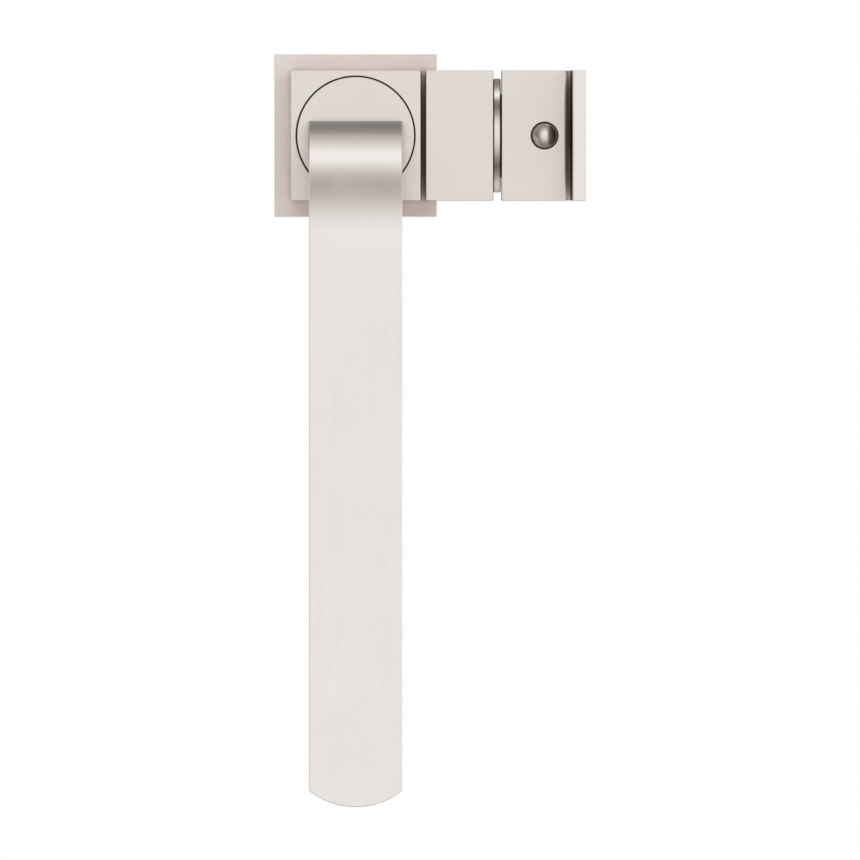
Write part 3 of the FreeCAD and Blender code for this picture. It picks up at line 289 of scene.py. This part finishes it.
class Finish(Tree):
    """One material: its principled shader, and what most finishes share."""

    def __init__(self, name):
        self.material = bpy.data.materials.new(name)
        self.material.use_nodes = True
        super().__init__(self.material.node_tree)
        self.shader = self.nodes["Principled BSDF"]
        place = self.add("ShaderNodeTexCoord")
        self.place = place.outputs["Object"]
        self.facing = self.split(place.outputs["Normal"])
        self.rounded = None
        self.colour = None

    def set(self, **values):
        for name, value in values.items():
            self.feed(self.shader.inputs[name.replace("_", " ")], value)

    def smudges(self, scale, roughness):
        return self.noise(self.place, scale, roughness=roughness)

    def edges(self, radius=EDGE_RADIUS):
        """1 on edges, 0 on flats; it also keeps the softened normal for the bump."""
        bevel = self.add("ShaderNodeBevel", settings=SAMPLES, Radius=radius)
        self.rounded = bevel.outputs[0]
        flat = self.add("ShaderNodeNewGeometry").outputs["Normal"]
        turn = self.vector_math("DOT_PRODUCT", self.rounded, flat)
        return self.fraction(turn, EDGE_STARTS, EDGE_FULL)

    def openness(self, reach):
        """The share of the sky that no wall nearer than reach takes away."""
        node = self.add("ShaderNodeAmbientOcclusion", settings=SAMPLES, Distance=reach)
        return node.outputs["AO"]

    def painted_cavity_shade(self, closed=0.02, narrow=0.08):
        """Painted shade in hollows: equal to closed where the openness is below narrow, and 1 in
        the open.
        """
        return self.remap(self.openness(CAVITY_REACH), narrow, CAVITY_OPEN, closed, 1.0,
                          smooth=True)

    def from_middle(self, half):
        """How far a place is up or down, from the arm's axis (0) to half a height away (1)."""
        place = self.split(self.place)
        return self.fraction(self.math("ABSOLUTE", place["Z"]), 0.0, half)

    def tone(self, colour):
        """Multiplies the base colour so far."""
        if self.colour is not None:
            colour = self.blend("RGBA", 1.0, self.colour, colour, "MULTIPLY")
        self.colour = colour
        self.set(Base_Color=colour)

    def bump(self, height, distance):
        node = self.add("ShaderNodeBump", Height=height, Distance=distance, Strength=1.0)
        if self.rounded is not None:
            self.feed(node.inputs["Normal"], self.rounded)
        self.set(Normal=node.outputs[0])

    def tangent(self, vector):
        """Turns an axis of the piece into the direction that the grain blurs."""
        node = self.add("ShaderNodeVectorTransform", settings={
            "vector_type": "VECTOR", "convert_from": "OBJECT", "convert_to": "WORLD"})
        self.feed(node.inputs[0], vector)
        self.set(Tangent=node.outputs[0])


GRAIN_DEPTH = 0.000003
STREAKS_ACROSS = 0.22        # broad streaks for each hair line, counted across the lines
STREAKS_ALONG = 0.35         # and counted along them
STREAK_SHARE = 0.45          # the streaks' share of the grain
GRAIN_ROUGHNESS = 0.05       # how much the grain lowers and raises the roughness
SMUDGE_SHADE = 0.015         # how much the smudges darken and lighten the colour
SMUDGE_ROUGHNESS = (-0.02, 0.03)
EDGE_HIGHLIGHT = 1.14            # edges are painted this much lighter, a painted highlight
EDGE_POLISH = 0.14           # and this much smoother


def brushed(name, colour, roughness, across="X", anisotropy=0.75, contrast=0.03, fine=3800.0,
            coarse=75.0, narrow=0.08, occlusion_shaded=1.0, edge_radius=EDGE_RADIUS):
    """Metal brushed in straight lines. Across is the axis that crosses the lines; faces that
    look along that axis are brushed across Y instead. Fine and coarse count the marks per
    metre across and along the lines."""
    finish = Finish(name)
    turned = finish.math("GREATER_THAN", finish.math("ABSOLUTE", finish.facing[across]), SIDEWAYS)

    def stretched(crossing, per_fine, per_coarse):
        scales = (fine * per_fine if axis == crossing else coarse * per_coarse for axis in "XYZ")
        return finish.scaled(finish.place, tuple(scales))

    def lines(per_fine, per_coarse, detail):
        place = finish.blend("VECTOR", turned, stretched(across, per_fine, per_coarse),
                             stretched("Y", per_fine, per_coarse))
        return finish.noise(place, detail=detail)

    hair = lines(1.0, 1.0, detail=2.0)
    streaks = lines(STREAKS_ACROSS, STREAKS_ALONG, detail=3.0)
    grain = finish.blend("FLOAT", STREAK_SHARE, hair, streaks)
    smudge = finish.smudges(SMUDGE_SCALE, roughness=0.55)
    edges = finish.edges(edge_radius)

    shade = finish.math("MULTIPLY", finish.vary(grain, 1.0 - contrast, 1.0 + contrast),
                        finish.vary(smudge, 1.0 - SMUDGE_SHADE, 1.0 + SMUDGE_SHADE, spread=0.2))
    # hollows get painted shade
    shade = finish.math("MULTIPLY", shade, finish.painted_cavity_shade(narrow=narrow))
    # larger hollows get painted shade, darker the less open a place is
    occlusion_shade = finish.ramp(finish.openness(OCCLUSION_SHADE_REACH), OCCLUSION_SHADE, OCCLUSION_SHADE_WARMTH)
    # edges are painted lighter, a painted highlight
    tint = finish.blend("RGBA", edges, opaque(colour), opaque(colour, EDGE_HIGHLIGHT))
    rough = finish.vary(grain, roughness - GRAIN_ROUGHNESS, roughness + GRAIN_ROUGHNESS,
                        spread=0.3)
    rough = finish.math("ADD", rough, finish.vary(smudge, *SMUDGE_ROUGHNESS, spread=0.2))
    rough = finish.math("SUBTRACT", rough, finish.math("MULTIPLY", edges, EDGE_POLISH))

    finish.set(Metallic=1.0, Roughness=rough, Anisotropic=anisotropy)
    finish.tone(finish.blend("RGBA", 1.0, tint, shade, "MULTIPLY"))
    finish.tone(finish.blend("RGBA", occlusion_shaded, WHITE, occlusion_shade))
    finish.bump(grain, GRAIN_DEPTH)
    finish.tangent(finish.blend("VECTOR", turned, OBJECT_AXES[across], OBJECT_AXES["Y"]))
    return finish


# The painted shade in the fillet at the fin's root, from the knob's face (0) to the fin (1), and
# then the painted shade on the fin's inner face, from its root (0) to its front edge (1).
FILLET = (
    (0.0, 1.0), (0.08, 0.48), (0.22, 0.25), (0.42, 0.20), (0.62, 0.15), (0.80, 0.07),
    (0.94, 0.015), (1.0, 0.005),
)
FIN_SIDE = ((0.0, 0.01), (0.08, 0.10), (0.3, 0.35), (0.93, 0.65), (0.983, 0.7), (0.988, 1.0))
# How much the painted shade is lifted, from the middle (0) up and down to the ends (1).
FIN_ENDS = (
    (0.0, 1.0), (0.5, 1.2), (0.6, 1.4), (0.71, 1.75), (0.77, 2.2), (0.83, 3.0), (0.89, 4.3),
    (0.97, 7.5),
)
FIN_FRONT = (1.06, 1.085, 1.125, 1.0)      # painted light: how much lighter the fin's front edge is painted
ROOT_WARMTH = (1.0, 1.06, 1.07)
FIN_THICKNESS = 0.00285
FIN_FILLET = 0.00185
PAST_FIN_FACE = 0.0004       # takes in the fin's inner face and the bevel on its front edge
OFF_KNOB_FACE = 0.00001      # leaves the knob's own face out
HALF_TURNED = 0.5            # the share of its normal by which a face counts as front or end


def paint_fin_root_shade(finish):
    """Paints shade into the corner under the fin and onto the fin's inner face, and paints the
    fin's front edge lighter."""
    face = housing_low.y
    fin = knob_high.x - FIN_THICKNESS
    place = finish.split(finish.place)
    across = finish.fraction(place["X"], fin - FIN_FILLET, fin)
    outwards = finish.fraction(place["Y"], face, knob_low.y)
    in_fillet = finish.math("GREATER_THAN", place["Y"], face - FIN_FILLET)
    shade = finish.blend("RGBA", in_fillet, finish.ramp(outwards, FIN_SIDE, ROOT_WARMTH),
                         finish.ramp(across, FILLET, ROOT_WARMTH))
    from_middle = finish.from_middle(knob_high.z)
    shade = finish.vector_math("MULTIPLY", shade, finish.ramp(from_middle, FIN_ENDS))
    shade = finish.vector_math("MINIMUM", shade, (1.0, 1.0, 1.0))

    # the fin's inner face takes the painted shade, and its front edge the painted light
    raised = finish.math("LESS_THAN", place["Y"], face - OFF_KNOB_FACE)
    inner = finish.math("LESS_THAN", place["X"], fin + PAST_FIN_FACE)
    not_end = finish.math("LESS_THAN", finish.math("ABSOLUTE", finish.facing["Z"]), HALF_TURNED)
    inner = finish.math("MULTIPLY", finish.math("MULTIPLY", inner, raised), not_end)
    front = finish.math("LESS_THAN", finish.facing["Y"], -HALF_TURNED)
    front = finish.math("MULTIPLY", raised, front)
    finish.tone(finish.blend("RGBA", inner, finish.blend("RGBA", front, WHITE, FIN_FRONT), shade))


# The painted shade on the plate in the shadow gap, from its middle (0) up and down to its ends
# (1).
GAP = (
    (0.0, 0.18), (0.36, 0.18), (0.51, 0.21), (0.65, 0.27), (0.76, 0.36), (0.87, 0.53),
    (0.95, 0.73), (1.0, 1.0),
)
GAP_WARMTH = (1.0, 1.03, 1.05)


def paint_gap_shade(finish):
    """Paints shade into the shadow gap, darkest at its middle."""
    finish.tone(finish.ramp(finish.from_middle(gap_high.z), GAP, GAP_WARMTH))


# the painted shade on the top of the strap's root
STRAP_ROOT = (0.31, 0.345, 0.375, 1.0)
# The upward share of a face's normal at which the painted shade starts, and at which it is full.
ROOT_TOP = (0.88, 0.97)


def paint_strap_root_shade(finish):
    """Paints shade on the top of the strap's root, in front of the disc."""
    top = finish.fraction(finish.facing["Z"], *ROOT_TOP)
    finish.tone(finish.blend("RGBA", top, WHITE, STRAP_ROOT))


MARK_DEPTH = 0.0000006
POLISHED_EDGE_HIGHLIGHT = 1.06         # edges of polished metal are painted this much lighter, a painted highlight
POLISH = (0.85, 1.2)         # how much the smudges lower and raise the roughness


def polished(name, colour, roughness, scales, contrast=0.02, gaps=True):
    """Polished metal with faint turning or wiping marks along the smaller scales. Its narrow
    gaps get painted shade unless gaps is False."""
    finish = Finish(name)
    marks = finish.noise(finish.scaled(finish.place, scales))
    smudge = finish.smudges(POLISHED_SMUDGE_SCALE, roughness=0.6)
    edges = finish.edges()
    shade = finish.vary(marks, 1.0 - contrast, 1.0 + contrast)
    # narrow gaps get painted shade
    if gaps:
        shade = finish.math("MULTIPLY", shade, finish.painted_cavity_shade(narrow=0.04))
    # edges are painted lighter, a painted highlight
    tint = finish.blend("RGBA", edges, opaque(colour), opaque(colour, POLISHED_EDGE_HIGHLIGHT))
    smoothest, roughest = (roughness * share for share in POLISH)
    rough = finish.vary(smudge, smoothest, roughest, spread=0.2)
    finish.set(Metallic=1.0, Roughness=rough)
    finish.tone(finish.blend("RGBA", 1.0, tint, shade, "MULTIPLY"))
    finish.bump(marks, MARK_DEPTH)
    return finish


TOOTH_SCALE = 2500.0         # marks per metre of a machined or moulded surface
TEETH_PER_CLOUD = 14
CLOUD_ROUGHNESS = 0.15       # by what share the clouds change the roughness
EDGE_SMOOTHING = 0.25        # by what share the edges are smoother


def machined(name, colour, roughness, tint, contrast, metallic=1.0, scale=TOOTH_SCALE,
             edge_lift=0.25, depth=0.000004):
    """A plated, blackened or moulded piece: a colour clouded by a tint of it, fine tooth, and
    lighter edges."""
    finish = Finish(name)
    tooth = finish.noise(finish.place, scale, detail=4.0)
    cloud = finish.noise(finish.place, scale / TEETH_PER_CLOUD, roughness=0.55, distortion=0.4)
    edges = finish.edges()
    tinted = [level * share for level, share in zip(colour, tint)]
    base = finish.blend("RGBA", finish.vary(cloud, 0.0, 1.0, spread=0.15), opaque(colour),
                        opaque(tinted))
    base = finish.blend("RGBA", edges, base, opaque(colour, 1 + edge_lift))
    # hollows get painted shade
    shade = finish.math("MULTIPLY", finish.vary(tooth, 1.0 - contrast, 1.0 + contrast),
                        finish.painted_cavity_shade(closed=0.15))
    rough = finish.vary(cloud, roughness * (1 - CLOUD_ROUGHNESS),
                        roughness * (1 + CLOUD_ROUGHNESS), spread=0.2)
    smoothing = finish.math("MULTIPLY", edges, roughness * EDGE_SMOOTHING)
    finish.set(Metallic=metallic, Roughness=finish.math("SUBTRACT", rough, smoothing))
    finish.tone(finish.blend("RGBA", 1.0, base, shade, "MULTIPLY"))
    finish.bump(tooth, depth)
    return finish


# One nickel on all these; their differences in colour are painted light and shade.
BLOCK_NICKEL = (0.688, 0.642, 0.592)
ROSE_NICKEL = (0.91, 0.85, 0.81)
STRAP_NICKEL = (0.905, 0.875, 0.85)
RING_NICKEL = (0.69, 0.65, 0.615)
BUTTON_NICKEL = (0.74, 0.70, 0.665)
DARK_STEEL = (0.76, 0.70, 0.67)
BLACK_OXIDE = (0.045, 0.045, 0.05)
ZINC = (0.66, 0.67, 0.68)
HARD_STEEL = (0.70, 0.70, 0.71)
SPRING_WIRE = (0.48, 0.48, 0.50)
BRASS = (0.78, 0.58, 0.28)
ACETAL = (0.80, 0.78, 0.70)
RUBBER = (0.030, 0.030, 0.033)

# Marks per metre along X, Y and Z.
RING_MARKS = (9000.0, 300.0, 300.0)
BUTTON_MARKS = (1500.0, 1500.0, 1500.0)
GROUND_MARKS = (4000.0, 200.0, 4000.0)
WIRE_MARKS = (3000.0, 3000.0, 3000.0)

# both take a share of the painted shade of larger hollows
block_nickel = brushed("brushed_nickel_upright", BLOCK_NICKEL, 0.21, occlusion_shaded=0.4)
knob_nickel = brushed("brushed_nickel_knob", BLOCK_NICKEL, 0.21, occlusion_shaded=0.4)
paint_fin_root_shade(knob_nickel)
rose_nickel = brushed("brushed_nickel_level", ROSE_NICKEL, 0.42, across="Z", contrast=0.07,
                      anisotropy=0.35)
strap_nickel = brushed("brushed_nickel_strap", STRAP_NICKEL, 0.42, fine=3200.0, coarse=45.0,
                       contrast=0.02, anisotropy=0.5, edge_radius=STRAP_EDGE_RADIUS)
paint_strap_root_shade(strap_nickel)
ring_nickel = polished("polished_nickel_ring", RING_NICKEL, 0.16, RING_MARKS, gaps=False)
button_nickel = polished("polished_nickel_button", BUTTON_NICKEL, 0.24, BUTTON_MARKS)
# its dark look in the shadow gap is painted shade on a light steel
dark_steel = brushed("dark_steel", DARK_STEEL, 0.45, across="Y", anisotropy=0.4, narrow=0.10)
paint_gap_shade(dark_steel)
black_steel = machined("black_steel", BLACK_OXIDE, 0.42, (1.35, 1.25, 1.15), 0.2, metallic=0.85,
                       edge_lift=2.5)
zinc_steel = machined("zinc_steel", ZINC, 0.34, (1.0, 1.0, 1.06), 0.08)
hard_steel = polished("polished_steel", HARD_STEEL, 0.18, GROUND_MARKS, contrast=0.04)
spring_steel = polished("spring_steel", SPRING_WIRE, 0.30, WIRE_MARKS, contrast=0.10)
brass = machined("brass_parts", BRASS, 0.26, (0.96, 0.93, 0.82), 0.06)
polymer = machined("bearing_polymer", ACETAL, 0.45, (0.98, 0.97, 0.93), 0.04, metallic=0.0,
                   edge_lift=0.06)
rubber = machined("seal_rubber", RUBBER, 0.72, (1.3, 1.3, 1.25), 0.25, metallic=0.0,
                  scale=3500.0, edge_lift=0.9, depth=0.00001)

BY_SLOT = {
    "brushed_nickel": block_nickel, "polished_nickel": ring_nickel, "dark_steel": dark_steel,
    "black_steel": black_steel, "zinc_steel": zinc_steel, "polished_steel": hard_steel,
    "spring_steel": spring_steel, "brass_parts": brass, "bearing_polymer": polymer,
    "seal_rubber": rubber,
}
BY_NODE = {
    "rose_plate": rose_nickel, "lever_strap": strap_nickel, "lock_knob": knob_nickel,
    "release_button": button_nickel,
}


def dress():
    """Gives every node its own finish, or else its material slot's."""
    slots = {part["node"]: part["material_slot"] for part in frame["record"]["subparts"]}
    for name, piece in frame["nodes"].items():
        finish = BY_NODE.get(name) or BY_SLOT[slots[name]]
        for slot in piece.material_slots:
            slot.material = finish.material


def make_button_spring():
    """Stands for the button's spring, and moves with the knob."""
    mesh = frame["nodes"]["button_spring"].data.copy()
    spring = bpy.data.objects.new("coiled_button_spring", mesh)
    scene.collection.objects.link(spring)
    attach(spring, "knob")
    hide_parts("button_spring")
    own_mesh(spring)


make_camera()
make_world()
make_floor()
dress()
make_button_spring()
